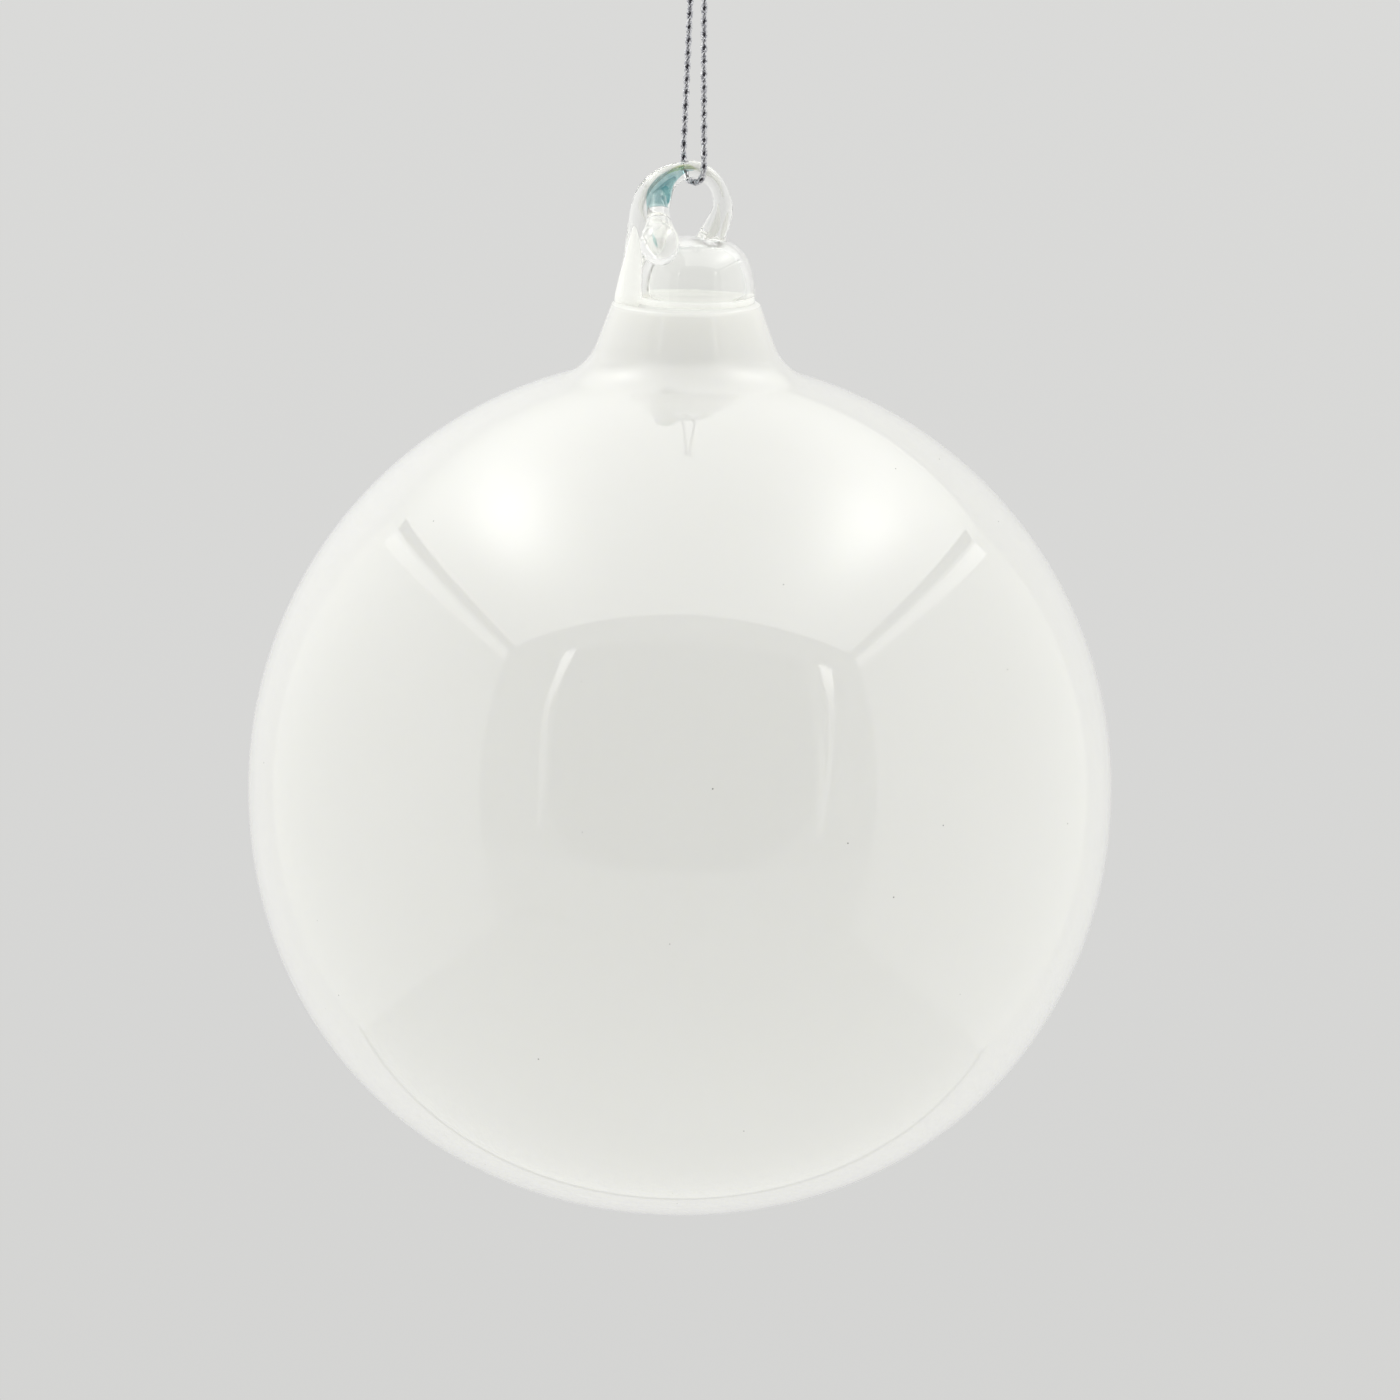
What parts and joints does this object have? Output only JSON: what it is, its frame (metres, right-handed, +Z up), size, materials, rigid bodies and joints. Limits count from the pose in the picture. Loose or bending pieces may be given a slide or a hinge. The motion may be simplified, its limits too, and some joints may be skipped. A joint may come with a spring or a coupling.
{
  "type": "glass ball ornament",
  "caption": "Hollow opal glass ball with a drawn neck, closed by a clear glass hanging ring, on a loop of knotted silver thread.",
  "frame": {"origin": "hanging point: the fork of the thread loop, just under its knot, where a hook carries the ornament", "axes": "+Z up along the hanging line, +X to the right and -Y to the front, with the ring's hole facing the front"},
  "size_m": [0.08, 0.08, 0.1323],
  "materials": {
    "opal_glass": "glossy milk-white opal",
    "clear_glass": "clear, fire-polished",
    "teal_glass": "translucent teal streak inside clear glass",
    "silver_thread": "knitted metallic thread"
  },
  "bodies": {
    "knot": {"thread_knot": "silver_thread"},
    "strands": {"thread_front_strand": "silver_thread", "thread_back_strand": "silver_thread"},
    "bight": {"thread_bight": "silver_thread"},
    "glass": {"opal_ball": "opal_glass", "neck_gather": "clear_glass", "loop_rod": "clear_glass", "loop_tail": "clear_glass", "teal_streak": "teal_glass"}
  },
  "joints": [
    {"name": "thread_swing", "type": "hinge", "parent": "knot", "child": "strands", "pos_m": [0, 0, 0], "axis": [0, 1, 0], "range_deg": [-40, 40]},
    {"name": "thread_twist", "type": "hinge", "parent": "strands", "child": "bight", "pos_m": [0, 0, -0.03], "axis": [0, 0, 1], "continuous": true},
    {"name": "ring_rock", "type": "hinge", "parent": "bight", "child": "glass", "pos_m": [0, 0, -0.02879], "axis": [1, 0, 0], "range_deg": [-35, 35]}
  ]
}
